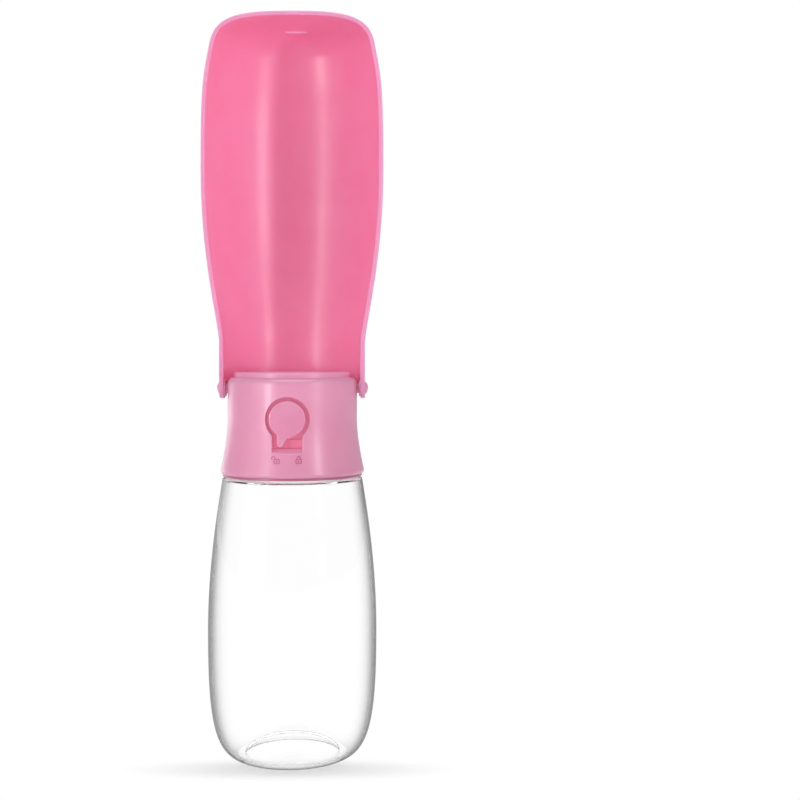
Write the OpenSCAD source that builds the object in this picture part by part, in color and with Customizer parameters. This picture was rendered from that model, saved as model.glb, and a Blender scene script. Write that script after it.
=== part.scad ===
// Travel water bottle for a dog, with a trough that folds over the bottle.
// Origin on the bottle's axis in the plane it stands on, front towards -Y.
// Drawn with the trough folded up and open, the head screwed on and the button unlocked.

/* [Bottle] */
// Largest width of the bottle
bottle_d = 69.6; // [66:0.2:74]
// Height of the bottle's shoulder above the ground
bottle_h = 114.7; // [106:0.1:124]
// Height of the widest place
belly_z = 52; // [44:1:60]
// How far the shoulder's edge lies inside the head's lip
shoulder_in = 0.8; // [0.2:0.1:2]
// Outer width of the ring that the bottle stands on
foot_d = 43; // [38:0.5:45]
// Width of the flat land on that ring
foot_land = 2; // [1:0.25:3]
// Rise of the base's curve beside the ring
base_lift = 1.2; // [1:0.1:3]
// Height of the hollow under the bottle
punt_h = 6; // [3:0.5:9]
// Wall of the bottle
bottle_wall = 1.6; // [1:0.1:2.2]

/* [Neck] */
// Bore of the neck
neck_bore_d = 38.6; // [34:0.2:43]
// Wall of the neck
neck_wall = 2.2; // [1.4:0.1:2.6]
// Height of the neck above the shoulder
neck_h = 9.7; // [8.5:0.1:10.5]
// Start of the thread above the shoulder
thread_start = 2.6; // [2.2:0.1:3]
// Rise of the thread in one turn
thread_pitch = 3; // [2.6:0.1:3.6]
// Turns of the thread
thread_turns = 1.5; // [1:0.25:1.75]
// Height of the thread's ridge above its wall
thread_depth = 1.25; // [0.8:0.05:1.3]
// Width of the ridge at its foot
thread_foot = 1.15; // [0.8:0.05:1.2]
// Width of the ridge at its crest
thread_crest = 0.6; // [0.3:0.05:0.7]
// Thickness of the neck's sealing ring
neck_seal_t = 0.9; // [0.6:0.1:1.2]

/* [Head] */
// Free space between the shoulder and the head
lip_gap = 0.9; // [0.5:0.1:1.5]
// Height of the head from its lower flange to its flat top
head_h = 40.5; // [39:0.1:43]
// Length of the straight part, measured down from the flat top
waist_h = 17.6; // [15:0.1:19]
// How far the lip stands out beyond the straight part
lip_out = 2.9; // [2:0.1:3.2]
// Height of the lip's widest place above the head's lower flange
lip_rise = 2.5; // [1.8:0.1:3.5]
// How far the lower flange's edge lies inside the lip
flange_in = 0.8; // [0.4:0.1:1.4]
// Thickness of the flange below the housing
flange_t = 1; // [0.6:0.1:1.6]
// Width of the housing's rim on the flange
skirt_rim = 2; // [1.6:0.1:3]
// Wall of the housing
head_wall = 1.8; // [1.4:0.1:2.2]
// Rounding of the head's upper edge
corner_r = 2.3; // [1.6:0.1:2.5]
// Width of the step round the boss on top
boss_step = 2.65; // [2.4:0.05:4]
// Height of the boss
boss_h = 2.3; // [1.5:0.1:3]
// Bevel of the boss's edge
boss_edge = 0.4; // [0.2:0.1:0.6]
// Height of the top cover's edge
cover_edge = 1.5; // [1.1:0.1:1.9]
// Thickness of the cover's plate
cover_t = 1.8; // [1.4:0.1:2.4]
// Width of the cover's rim over the housing's bore
cover_rim = 2; // [1.9:0.1:3]
// Depth of the cover's skirt in the housing
cover_skirt = 2; // [1:0.1:3]
// Thickness of that skirt
cover_skirt_t = 1.7; // [1:0.1:1.8]
// Thickness of the threaded insert's wall
insert_wall = 1.5; // [1.2:0.1:1.8]
// Thickness of the insert's deck
deck_t = 1.6; // [1.4:0.1:1.8]

/* [Trough] */
// Widest place of the trough below the hinge when it is shut
trough_belly = 90.4; // [84:0.1:96]
// Length of the straight part next to the hinge
trough_straight = 18; // [15:0.5:20]
// How far the sides draw in from the belly to the far corner
trough_end_in = 3.7; // [2.6:0.1:4.2]
// Height of the far corner's rounding
trough_corner = 12.9; // [11:0.1:13.5]
// Wall of the trough
trough_wall = 1.8; // [1.4:0.1:1.9]
// How far the rim lies beyond the axis
rim_past_axis = 4.3; // [4.2:0.1:6]
// How far the trough's back edge lies below the hinge
back_edge = 2.4; // [1.5:0.1:2.6]
// Width of the snap rib inside the far end
rib_w = 9.5; // [6:0.5:14]
// Height of that rib
rib_h = 0.4; // [0.2:0.1:0.5]
// Thickness of that rib
rib_t = 1; // [0.8:0.1:1.6]

/* [Hinge] */
// Distance of the hinge below the head's flat top
pin_drop = 4.3; // [4.2:0.1:5.5]
// Shank of a hinge pin
pin_d = 3.8; // [3:0.1:4]
// Length of a pin's shank
pin_len = 8.6; // [7.5:0.1:9.5]
// Bevel of the shank's inner end
pin_edge = 0.3; // [0.2:0.1:0.5]
// Head of a hinge pin
pin_head_d = 5.5; // [4.8:0.1:7]
// Height of the pin's domed head
pin_dome = 1.2; // [0.8:0.1:1.6]
// Radius of the ear round the pin
ear_r = 4.3; // [3.8:0.1:4.6]
// Thickness of an ear round the pin
ear_t = 2.45; // [2.1:0.05:3]
// Width of the round pad on the inside of an ear
ear_pad_d = 7; // [6:0.1:8]
// Free space between that pad and the head
ear_gap = 0.9; // [0.5:0.1:1.1]

/* [Latch] */
// Width of the latch tongue
tongue_w = 8; // [7:0.1:10]
// Reach of the tongue below the hinge
tongue_reach = 6.3; // [5.9:0.1:6.8]
// Width of the window in the tongue
window_w = 5.2; // [4.8:0.1:5.6]
// Upper edge of the window below the hinge
window_top = 2.9; // [2.6:0.05:2.9]
// Height of the window
window_h = 2.3; // [2:0.05:2.4]
// Width of the hook on the head
hook_w = 4.4; // [3:0.1:4.6]
// Thickness of the hook's tip
hook_tip = 0.5; // [0.3:0.1:0.8]
// How deep the hook enters the window
hook_bite = 0.5; // [0.2:0.1:0.8]
// Width of the small stop above the hook
nub_w = 3; // [2:0.1:5]
// Height of that stop
nub_h = 1.6; // [1:0.1:2]
// How far that stop stands out
nub_out = 0.8; // [0.4:0.1:0.9]

/* [Cord lug] */
// Distance of the cord hole below the hinge
lug_drop = 11.5; // [11:0.1:14]
// Width of the cord hole
lug_hole_d = 2.7; // [2.2:0.1:3]
// Distance of the cord hole from the head's wall
lug_stand = 0.1; // [0:0.1:0.6]
// Height of the lug
lug_h = 5.9; // [5.5:0.1:7]
// Thickness of the lug along the hole
lug_w = 4; // [3:0.1:6]

/* [Button] */
// Distance of the button's centre below the head's flat top
button_drop = 16.2; // [16:0.1:16.6]
// Width of the button's disc
button_d = 14.6; // [13:0.1:15]
// Free space round the disc
recess_gap = 1.5; // [1:0.1:1.7]
// Reach of the button's tail from its centre
tail_reach = 11.4; // [10.5:0.1:11.5]
// Free space below the tail's reach
tail_gap = 0.3; // [0.2:0.1:0.4]
// Radius of the tail's tip
tail_tip_r = 1.3; // [1:0.1:1.5]
// Taper of each side of the tail
tail_taper = 16; // [10:1:20]
// Angle of the tail from straight down, to either side
tail_angle = 15.9; // [12:0.1:18]
// Width of the slot for the tail
slot_w = 12; // [11.5:0.1:12.5]
// Fall of the scoop below the slot, across the lip
scoop_drop = 3.6; // [1:0.1:4]
// How far the button stands out of the waist
button_proud = 0.3; // [0:0.1:0.4]
// Thickness of the button's cap
cap_t = 3.2; // [2.8:0.1:3.3]
// Thickness of the cap in front of the stem
cap_skin = 1.8; // [1.2:0.1:2.2]
// Travel of the button
press_travel = 2.5; // [1.5:0.1:2.6]
// Free space behind the pressed cap
press_rest = 1.2; // [1:0.1:1.3]
// Height of the lock's ledge on the guide
ledge_h = 0.9; // [0.4:0.1:0.9]
// Distance of the ledge's side from the middle of the slot
ledge_x = 0.6; // [0.2:0.1:1.2]
// Hub behind the button's cap
hub_d = 8; // [7:0.1:8.4]
// How deep the hub enters the guide's floor
hub_reach = 1; // [0.6:0.1:1.4]
// Stop pin behind the button's cap
stop_pin_d = 1.8; // [1.4:0.1:2]
// Distance of the stop pin from the button's centre
stop_pin_at = 6; // [5.8:0.1:6.2]
// Thickness of the guide's floor
guide_t = 1.6; // [1.5:0.1:2]
// Wall of the guide
guide_wall = 1; // [0.8:0.1:1.1]

/* [Valve] */
// Bore of the valve's barrel
barrel_bore_d = 9.2; // [9:0.1:9.6]
// Wall of the barrel
barrel_wall = 1.2; // [1:0.1:1.4]
// Front end of the barrel, before the axis
barrel_front = 6; // [5.5:0.1:6.5]
// Rear end of the barrel, behind the axis
barrel_rear = 19; // [18.4:0.1:19.5]
// Place of the wall that carries the valve seat, behind the axis
seat_wall_at = 3; // [2.8:0.1:3.2]
// Thickness of that wall
seat_wall_t = 1; // [0.8:0.1:1.2]
// Width of the hole in that wall
seat_hole_d = 6.4; // [5.6:0.1:6.6]
// Thickness of the valve seat ring
seat_ring_t = 1; // [0.8:0.1:1.2]
// How far the seat ring stands into the hole
seat_lip = 0.4; // [0.2:0.1:0.6]
// Free space round the plug
plug_gap = 0.7; // [0.5:0.1:0.8]
// Thickness of the valve plug
plug_t = 2; // [1.6:0.1:2.2]
// Bevel of the plug's front edge
plug_edge = 0.7; // [0.3:0.1:0.8]
// Front part of the stem
stem_front_d = 4; // [3.4:0.1:4.2]
// Rear part of the stem
stem_d = 3; // [2.6:0.1:3.2]
// Free space between the pressed stem's step and the gland
step_gap = 0.5; // [0.3:0.1:1]
// Thickness of the gland before the barrel
gland_t = 3; // [2.4:0.1:3.4]
// Depth of the gland's plug in the barrel
gland_plug = 1.8; // [1.4:0.1:2.2]
// Thickness of the gland's o-ring
gland_ring_d = 1.2; // [1:0.1:1.3]
// Width of that ring's groove
gland_groove_w = 1.5; // [1.4:0.1:1.7]
// Depth of that groove round the stem
gland_groove = 1.6; // [1.5:0.1:1.8]
// Thickness of the end cap's flange
cap_flange = 1.5; // [1:0.1:2]
// Depth of the end cap's plug in the barrel
cap_plug = 2.4; // [2.2:0.1:2.8]
// Distance of the end cap's groove from its flange
cap_groove_at = 0.6; // [0.4:0.1:0.8]
// Length of the post inside the spring
post_len = 2; // [1:0.1:3]
// Depth of the grooves for the end cap's and the outlet's o-rings
ring_groove = 1.25; // [1.1:0.05:1.3]
// Distance of the inlet behind the axis
inlet_at = 10; // [9.6:0.1:10.6]
// Bore of the inlet
inlet_d = 5; // [4:0.1:5.4]
// Wall of the inlet's riser
riser_wall = 2.3; // [2:0.1:2.5]
// Inner wall of the inlet seal's groove
inlet_land = 0.4; // [0.3:0.05:0.6]
// Width of that groove
inlet_groove = 1.2; // [1.1:0.05:1.4]
// Bore of the outlet
outlet_d = 4.8; // [4:0.1:5]
// Wall of the outlet tube
outlet_wall = 1; // [0.8:0.1:1]
// Wall of the collar round the outlet tube's foot
collar_wall = 1; // [0.8:0.1:1.2]
// Height of that collar above the barrel
collar_h = 3.4; // [2:0.1:4]
// Depth of the socket under the cover for the outlet tube
socket_h = 4; // [3.6:0.1:5]
// Wall of that socket
socket_wall = 2; // [1.8:0.1:2.6]
// Width and depth of the outlet's bevel
outlet_bevel = 0.8; // [0.4:0.1:1]
// Wire of the spring
spring_wire = 0.8; // [0.5:0.05:0.8]
// Free space round the spring
spring_gap = 0.9; // [0.8:0.1:1.2]
// Turns of the spring
spring_turns = 5; // [4:0.5:5]
// Distance of a valve screw from the middle
screw_at = 10; // [9.8:0.1:10.5]
// Shank of a valve screw
screw_d = 2.4; // [2:0.1:2.6]
// Length of a valve screw below its head
screw_len = 6.8; // [5.5:0.1:7]
// Head of a valve screw
screw_head_d = 4.6; // [4:0.1:5]
// Height of a valve screw's head
screw_head_t = 1.6; // [1.2:0.1:2]
// Length of a valve screw's point
screw_point = 1; // [0.6:0.1:1.4]
// Shank of the plug's screw
plug_screw_d = 1.8; // [1.4:0.1:2]
// Length of that screw below its head
plug_screw_len = 3.8; // [3:0.1:4.5]
// Head of that screw
plug_screw_head_d = 4.2; // [3.4:0.1:4.4]
// Height of that head
plug_screw_head_t = 1; // [0.8:0.1:1.2]
// Width of the screws' slots
slot_t = 0.6; // [0.4:0.1:0.8]
// Depth of the screws' slots
slot_depth = 0.5; // [0.3:0.1:0.7]
// Thickness of the valve's foot plate
foot_t = 2.2; // [2:0.1:2.6]
// Plastic round a screw's hole
screw_wall = 1.6; // [1.4:0.1:2]
// Depth of the screw bosses under the deck's face
screw_boss_h = 5; // [4:0.1:5.4]
// Thickness of the web under the barrel
web_t = 2; // [1:0.1:3]

/* [Fits] */
// Radial clearance of what turns or slides
run_fit = 0.06; // [0.03:0.01:0.09]
// Radial clearance of pins and screws in their holes
seat_fit = 0.02; // [0.01:0.01:0.04]
// Radial clearance of plugs and tubes in their seats
plug_fit = 0.05; // [0.03:0.01:0.08]
// Clearance of lids, bushes and domes on their seats
drop_fit = 0.1; // [0.05:0.05:0.2]
// Free space beside a rubber part
soft_gap = 0.3; // [0.2:0.05:0.4]
// Free space round an o-ring in its groove
ring_gap = 0.07; // [0.05:0.01:0.1]
// Radial play of threads
thread_play = 0.4; // [0.3:0.05:0.45]
// Free space between the threaded insert and the housing
insert_gap = 0.25; // [0.2:0.05:0.4]
// Free space at the tips of pins and screws
tip_gap = 0.3; // [0.2:0.05:0.5]
// Free space between inner parts that face each other
face_gap = 0.2; // [0.1:0.05:0.25]
// Free space above and below the hook in its window
latch_gap = 0.3; // [0.2:0.05:0.4]
// Free space between the bottle's belly and the shut trough
trough_gap = 1.1; // [1:0.1:2]
// Free space between the shut trough's end and the ground plane
end_gap = 2.1; // [2:0.1:4]

/* [Hidden] */
$fn = 64;
pink = "#f7a8c6";
deep_pink = "#ee6f97";
white = "#f4f1ef";
rubber = "#e8e6e2";
steel = "#c9ccd0";
// How far a cut runs past the face that it opens, and a bed under the face that it joins
past = 1;
bed = 0.4;

// Heights
flange_z = bottle_h + lip_gap;
skirt_z = flange_z + flange_t;
lip_z = flange_z + lip_rise;
head_top = flange_z + head_h;
waist_z = head_top - waist_h;
boss_top = head_top + boss_h;
cover_z = head_top - cover_edge;
pin_z = head_top - pin_drop;
button_z = head_top - button_drop;
neck_top = bottle_h + neck_h;
deck_z = neck_top + soft_gap + neck_seal_t;
deck_top = deck_z + deck_t;
lug_z = pin_z - lug_drop;

// Radii, from the neck outwards
neck_bore_r = neck_bore_d / 2;
neck_r = neck_bore_r + neck_wall;
thread_tip_r = neck_r + thread_depth;
insert_bore_r = thread_tip_r + thread_play;
insert_r = insert_bore_r + insert_wall;
head_bore_r = insert_r + insert_gap;
waist_r = head_bore_r + head_wall;
mid_wall_r = waist_r - head_wall / 2;
boss_r = waist_r - boss_step;
lip_r = waist_r + lip_out;
flange_r = lip_r - flange_in;
shoulder_r = lip_r - shoulder_in;
bottle_r = bottle_d / 2;
foot_r = foot_d / 2;
punt_r = foot_r - foot_land;
pin_r = pin_d / 2;
ear_pad_x = waist_r + ear_gap;
ear_x = ear_pad_x + ear_t;
trough_r = bottle_r + trough_gap + trough_wall;
trough_end_r = trough_r - trough_end_in;
trough_len = pin_z + end_gap + trough_wall;
lug_y = waist_r + lug_stand + lug_hole_d / 2;

// The button, with places along its axis, the front negative
button_r = button_d / 2;
recess_r = button_r + recess_gap;
slot_drop = tail_reach + tail_gap;
recess_back = face_gap - sqrt(pow(head_bore_r, 2) - pow(recess_r, 2));
cap_front = -(waist_r + button_proud);
cap_back = cap_front + cap_t;
guide_floor = cap_back + press_travel + press_rest;
hub_back = guide_floor + hub_reach;
stem_front = cap_front + cap_skin;

// The valve
bore_r = barrel_bore_d / 2;
barrel_r = bore_r + barrel_wall;
gland_front = -barrel_front - gland_t;
stem_r = stem_d / 2;
stem_step = gland_front - press_travel - step_gap;
seat_ring_at = seat_wall_at + seat_wall_t;
seat_hole_r = seat_hole_d / 2;
plug_r = bore_r - plug_gap;
plug_at = seat_ring_at + seat_ring_t + soft_gap;
plug_back = plug_at + plug_t;
spring_r = bore_r - spring_gap;
spring_front = plug_back + face_gap;
spring_back = barrel_rear - cap_plug - drop_fit;
inlet_r = inlet_d / 2;
outlet_r = outlet_d / 2;
tube_r = outlet_r + outlet_wall;
tube_foot = button_z + barrel_r;
tube_top = boss_top - cover_t - face_gap;
ring_r = ring_groove / 2 - ring_gap;
screw_r = screw_d / 2;

// A cubic curve from a to d, without its first point when from is 1
function curve(a, b, c, d, steps, from = 0) = [for (i = [from:steps]) let (t = i / steps)
    pow(1 - t, 3) * a + 3 * t * pow(1 - t, 2) * b + 3 * t * t * (1 - t) * c + pow(t, 3) * d];
function arc(centre, r, a0, a1, steps, from = 0) = [for (i = [from:steps])
    let (a = a0 + (a1 - a0) * i / steps) centre + r * [cos(a), sin(a)]];
function reversed(list) = [for (i = [len(list) - 1:-1:0]) list[i]];

// Moves an outline that runs upwards by d towards its axis
function inset(list, d) = [for (i = [0:len(list) - 1])
    let (a = list[max(i - 1, 0)], b = list[min(i + 1, len(list) - 1)], t = (b - a) / norm(b - a))
    list[i] - d * [t[1], -t[0]]];

// Outlines as radius and height. Factors place the curves' handles.
side_h = bottle_h - belly_z;
bottle_side = concat(
    curve([foot_r, 0], [foot_r + 0.83 * (bottle_r - foot_r), base_lift],
        [bottle_r, belly_z / 3], [bottle_r, belly_z], 18),
    curve([bottle_r, belly_z], [bottle_r, belly_z + side_h / 3],
        [shoulder_r + 0.057 * side_h, bottle_h - side_h / 3], [shoulder_r, bottle_h], 14, 1));
punt = curve([0, punt_h], [0.5 * punt_r, punt_h], [0.9 * punt_r, 0.8 * punt_h], [punt_r, 0], 10);
blend_h = waist_z - lip_z;
head_side = concat(
    curve([flange_r, skirt_z], [lip_r - 0.25 * flange_in, skirt_z],
        [lip_r, (skirt_z + lip_z) / 2], [lip_r, lip_z], 5),
    curve([lip_r, lip_z], [lip_r - 0.62 * lip_out, lip_z + 0.37 * blend_h],
        [waist_r, waist_z - 0.2 * blend_h], [waist_r, waist_z], 12, 1),
    arc([waist_r - corner_r, head_top - corner_r], corner_r, 0, 90, 8));
swell_h = trough_belly - trough_straight;
corner_at = trough_len - trough_corner;
taper_h = corner_at - trough_belly;
taper = 0.2;
trough_side = concat(
    [[ear_x, -tongue_reach - past], [ear_x, 0]],
    curve([ear_x, trough_straight], [ear_x, trough_straight + 0.12 * swell_h],
        [trough_r, trough_belly - 0.525 * swell_h], [trough_r, trough_belly], 14),
    curve([trough_r, trough_belly], [trough_r, trough_belly + 0.65 * taper_h],
        [trough_end_r + taper * 0.29 * taper_h, corner_at - 0.29 * taper_h],
        [trough_end_r, corner_at], 12, 1),
    curve([trough_end_r, corner_at],
        [trough_end_r - taper * 0.94 * trough_corner, corner_at + 0.94 * trough_corner],
        [0.56 * trough_end_r, trough_len], [0, trough_len], 16, 1));
trough_in = inset(trough_side, trough_wall);
trough_hollow = [for (i = [0:len(trough_in) - 1])
    i < len(trough_in) - 1 ? trough_in[i] : [0, trough_len - trough_wall]];

// Simple solids
module disc(r, z0, z1) translate([0, 0, z0]) cylinder(r = r, h = z1 - z0);
module rod_y(r, y0, y1) translate([0, y0, 0]) rotate([-90, 0, 0]) cylinder(r = r, h = y1 - y0);
module rod_x(r, x0, x1) translate([x0, 0, 0]) rotate([0, 90, 0]) cylinder(r = r, h = x1 - x0);
module block(low, high) translate(low) cube(high - low);
module torus(r, wire_r) rotate_extrude() translate([r, 0]) circle(wire_r);
// An outline in x and z, pushed from y0 back to y1
module pushed(y0, y1) translate([0, y1, 0]) rotate([90, 0, 0]) linear_extrude(y1 - y0) children();
// An outline in y and z, w wide across the middle
module across(w) translate([-w / 2, 0, 0]) rotate([90, 0, 90]) linear_extrude(w) children();
module at_valve() translate([0, 0, button_z]) children();
module at_inlet() translate([0, inlet_at, deck_top]) children();
module at_screws() for (side = [-1, 1]) translate([side * screw_at, inlet_at, deck_top]) children();

// A screw thread's ridge, from its foot radius to its tip radius
module ridge(foot_r, tip_r) {
    steps = ceil(thread_turns * 32);
    base = foot_r + (foot_r < tip_r ? -bed : bed);
    points = [for (i = [0:steps])
        let (a = 360 * thread_turns * i / steps, z = thread_pitch * thread_turns * i / steps,
            rise = min(1, 0.1 + i / 5, 0.1 + (steps - i) / 5),
            tip = base + (tip_r - base) * rise, dir = [cos(a), sin(a), 0])
        each [base * dir + [0, 0, z - thread_foot / 2], tip * dir + [0, 0, z - thread_crest / 2],
            tip * dir + [0, 0, z + thread_crest / 2], base * dir + [0, 0, z + thread_foot / 2]]];
    sides = [for (i = [0:steps - 1], k = [0:3])
        let (a = 4 * i + k, b = 4 * i + (k + 1) % 4, c = a + 4, d = b + 4)
        each [[a, c, b], [b, c, d]]];
    last = 4 * steps;
    faces = concat([[0, 1, 2], [0, 2, 3]], sides,
        [[last, last + 2, last + 1], [last, last + 3, last + 2]]);
    polyhedron(points, foot_r > tip_r ? faces : [for (f = faces) reversed(f)]);
}

// The bottle
module bottle() color("#e6edf0", 0.4) {
    top_in = bottle_h - bottle_wall;
    inner = inset(bottle_side, bottle_wall);
    inner_side = [for (p = inner) if (p[1] < top_in - past && p[1] > bottle_wall) p];
    rotate_extrude() polygon(concat(punt, bottle_side,
        [[neck_r, bottle_h], [neck_r, neck_top], [neck_bore_r, neck_top],
            [neck_bore_r, top_in], [inner[len(inner) - 1][0], top_in]],
        reversed(inner_side), [for (p = reversed(punt)) p + [0, bottle_wall]]));
    translate([0, 0, bottle_h + thread_start]) ridge(neck_r, thread_tip_r);
}

// Soft ring that the neck's rim closes against
module neck_seal() color(rubber) difference() {
    disc(neck_r - drop_fit, deck_z - neck_seal_t, deck_z);
    disc(neck_bore_r + soft_gap, deck_z - neck_seal_t - past, deck_z + past);
}

// Threaded cup inside the head, with a deck that closes the neck
module neck_insert() color(pink) difference() {
    union() {
        difference() {
            union() {
                disc(insert_r, flange_z, deck_top);
                disc(flange_r, flange_z, skirt_z);
            }
            disc(insert_bore_r, flange_z - past, deck_z);
        }
        translate([0, 0, bottle_h + thread_start + thread_pitch / 2])
            ridge(insert_bore_r, neck_r + thread_play);
        at_screws() disc(screw_r + screw_wall, -deck_t - screw_boss_h, -bed);
    }
    at_inlet() disc(inlet_r, -deck_t - past, past);
    at_screws() disc(screw_r + seat_fit, foot_t - screw_len - tip_gap, past);
}

module head_form() rotate_extrude() polygon(concat([[0, skirt_z]], head_side, [[0, head_top]]));

// The recess for the button, seen from the front, about the button's centre
module recess_outline(extra = 0, below = 0) {
    circle(recess_r + extra);
    translate([-slot_w / 2 - extra, -slot_drop - below]) square([slot_w + 2 * extra, slot_drop]);
}

// Bearing for a hinge pin, standing on the inside of the housing
module pin_boss(side) intersection() {
    inner = ear_x - pin_len - tip_gap;
    block([side > 0 ? inner : -waist_r, -ear_pad_d / 2, pin_z - pin_r - head_wall],
        [side > 0 ? waist_r : -inner, ear_pad_d / 2, cover_z - face_gap]);
    disc(mid_wall_r, pin_z - ear_pad_d, head_top);
}

module cord_lug() translate([0, lug_y, lug_z]) {
    rod_x(lug_h / 2, -lug_w / 2, lug_w / 2);
    block([-lug_w / 2, mid_wall_r - lug_y, -lug_h / 2], [lug_w / 2, 0, lug_h / 2]);
}

// Hook for the tongue's window: a ramp above and a flat face below
module latch_hook() {
    out = ear_x - trough_wall + hook_bite;
    high = pin_z - window_top - latch_gap;
    low = pin_z - window_top - window_h + latch_gap;
    across(hook_w) polygon([[mid_wall_r, low], [out, low], [out, low + hook_tip],
        [waist_r, high], [mid_wall_r, high]]);
}

module head_housing() color(pink) difference() {
    union() {
        difference() {
            intersection() {
                head_form();
                disc(lip_r + past, skirt_z - past, cover_z);
            }
            disc(head_bore_r, deck_z, head_top + past);
            rotate_extrude() polygon(concat([[0, skirt_z - past]],
                [for (p = inset([for (q = head_side) if (q[1] <= deck_z + past) q], head_wall))
                    if (p[1] > skirt_z) p],
                [[0, deck_z + past]]));
            disc(flange_r - skirt_rim, skirt_z - past, skirt_z + skirt_rim);
        }
        for (side = [-1, 1]) pin_boss(side);
        cord_lug();
        latch_hook();
        block([-nub_w / 2, mid_wall_r, pin_z - nub_h / 2],
            [nub_w / 2, waist_r + nub_out, pin_z + nub_h / 2]);
    }
    at_valve() pushed(-lip_r - past, recess_back) intersection() {
        recess_outline();
        translate([-lip_r, -slot_drop]) square(2 * lip_r);
    }
    // The slanted scoop below the slot
    across(slot_w) polygon([[-head_bore_r, button_z - slot_drop],
        [-lip_r - past, button_z - slot_drop - scoop_drop],
        [-lip_r - past, button_z - slot_drop + past], [-head_bore_r, button_z - slot_drop + past]]);
    translate([0, 0, pin_z]) rod_x(pin_r + seat_fit, -waist_r - past, waist_r + past);
    translate([0, lug_y, lug_z]) rod_x(lug_hole_d / 2, -lug_w, lug_w);
}

// Lid of the head, with the boss and the outlet
module top_cover() color(pink) difference() {
    union() {
        difference() {
            union() {
                intersection() {
                    head_form();
                    disc(lip_r, cover_z, head_top + past);
                }
                rotate_extrude() polygon([[0, head_top - cover_edge / 2],
                    [boss_r, head_top - cover_edge / 2], [boss_r, boss_top - boss_edge],
                    [boss_r - boss_edge, boss_top], [0, boss_top]]);
            }
            disc(head_bore_r - cover_rim, cover_z - past, boss_top - cover_t);
        }
        // A skirt that plugs into the housing, open at the two pin bearings
        difference() {
            disc(head_bore_r - drop_fit, cover_z - cover_skirt, cover_z + bed);
            disc(head_bore_r - drop_fit - cover_skirt_t, cover_z - cover_skirt - past,
                cover_z + past);
            block([-lip_r, -ear_pad_d / 2 - tip_gap, cover_z - cover_skirt - past],
                [lip_r, ear_pad_d / 2 + tip_gap, cover_z]);
        }
        disc(tube_r + plug_fit + socket_wall, tube_top - socket_h, boss_top - cover_t + bed);
    }
    disc(tube_r + plug_fit, tube_top - socket_h - past, boss_top - cover_t);
    disc(tube_r + ring_groove, tube_top - 2 * ring_groove, tube_top - ring_groove);
    disc(outlet_r, boss_top - cover_t - past, boss_top + past);
    translate([0, 0, boss_top - outlet_bevel])
        cylinder(r1 = outlet_r, r2 = outlet_r + 2 * outlet_bevel, h = 2 * outlet_bevel);
}

// Barrel of the valve, on a riser that stands on the deck
module valve_body() color(white) difference() {
    union() {
        at_valve() rod_y(barrel_r, -barrel_front, barrel_rear);
        at_inlet() disc(inlet_r + riser_wall, 0, button_z - deck_top);
        disc(tube_r + plug_fit + collar_wall, button_z, tube_foot + collar_h);
        hull() at_screws() disc(screw_head_d / 2 + screw_wall / 2, 0, foot_t);
        block([-web_t / 2, -barrel_front, deck_top],
            [web_t / 2, inlet_at, button_z - (bore_r + barrel_r) / 2]);
    }
    at_valve() rod_y(bore_r, -barrel_front - past, seat_wall_at);
    at_valve() rod_y(seat_hole_r, 0, seat_ring_at + past);
    at_valve() rod_y(bore_r, seat_ring_at, barrel_rear + past);
    at_inlet() disc(inlet_r, -past, button_z - deck_top);
    at_inlet() difference() {
        disc(inlet_r + inlet_land + inlet_groove, -past, inlet_groove);
        disc(inlet_r + inlet_land, -2 * past, 2 * past);
    }
    disc(outlet_r, button_z, tube_foot + past);
    disc(tube_r + plug_fit, tube_foot, tube_foot + collar_h + past);
    at_screws() disc(screw_r + tip_gap, -past, foot_t + past);
}

module valve_seat_ring() color(rubber) at_valve() difference() {
    rod_y(bore_r - plug_fit, seat_ring_at, seat_ring_at + seat_ring_t);
    rod_y(seat_hole_r - seat_lip, 0, plug_back);
}

// Plug in the barrel's rear end, which the spring pushes against
module valve_end_cap() color(white) at_valve() difference() {
    groove = barrel_rear - cap_groove_at - ring_groove;
    union() {
        rod_y(barrel_r, barrel_rear, barrel_rear + cap_flange);
        rod_y(bore_r - plug_fit, barrel_rear - cap_plug, barrel_rear);
        rod_y(spring_r - spring_wire - soft_gap, barrel_rear - cap_plug - post_len, barrel_rear);
    }
    difference() {
        rod_y(bore_r + past, groove, groove + ring_groove);
        rod_y(bore_r - ring_groove, groove - past, barrel_rear);
    }
}

module end_cap_o_ring() color(rubber) at_valve()
    translate([0, barrel_rear - cap_groove_at - ring_groove / 2, 0]) rotate([-90, 0, 0])
        torus(bore_r - ring_groove / 2, ring_r);

module inlet_seal() color(rubber) at_inlet() translate([0, 0, inlet_groove / 2])
    torus(inlet_r + inlet_land + inlet_groove / 2, inlet_groove / 2 - ring_gap);

module valve_screws() color(steel) at_screws() translate([0, 0, foot_t]) difference() {
    union() {
        disc(screw_head_d / 2, 0, screw_head_t);
        disc(screw_r, screw_point - screw_len, 0);
        translate([0, 0, -screw_len]) cylinder(r1 = screw_r / 4, r2 = screw_r, h = screw_point);
    }
    for (turn = [0, 90]) rotate(turn)
        block([-screw_r, -slot_t / 2, screw_head_t - slot_depth],
            [screw_r, slot_t / 2, screw_head_t + past]);
}

module outlet_tube() color(rubber) difference() {
    disc(tube_r, tube_foot, tube_top);
    disc(outlet_r, tube_foot - past, tube_top + past);
}

module outlet_seal() color(rubber) translate([0, 0, tube_top - 1.5 * ring_groove])
    torus(tube_r + ring_groove / 2, ring_r);

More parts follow.
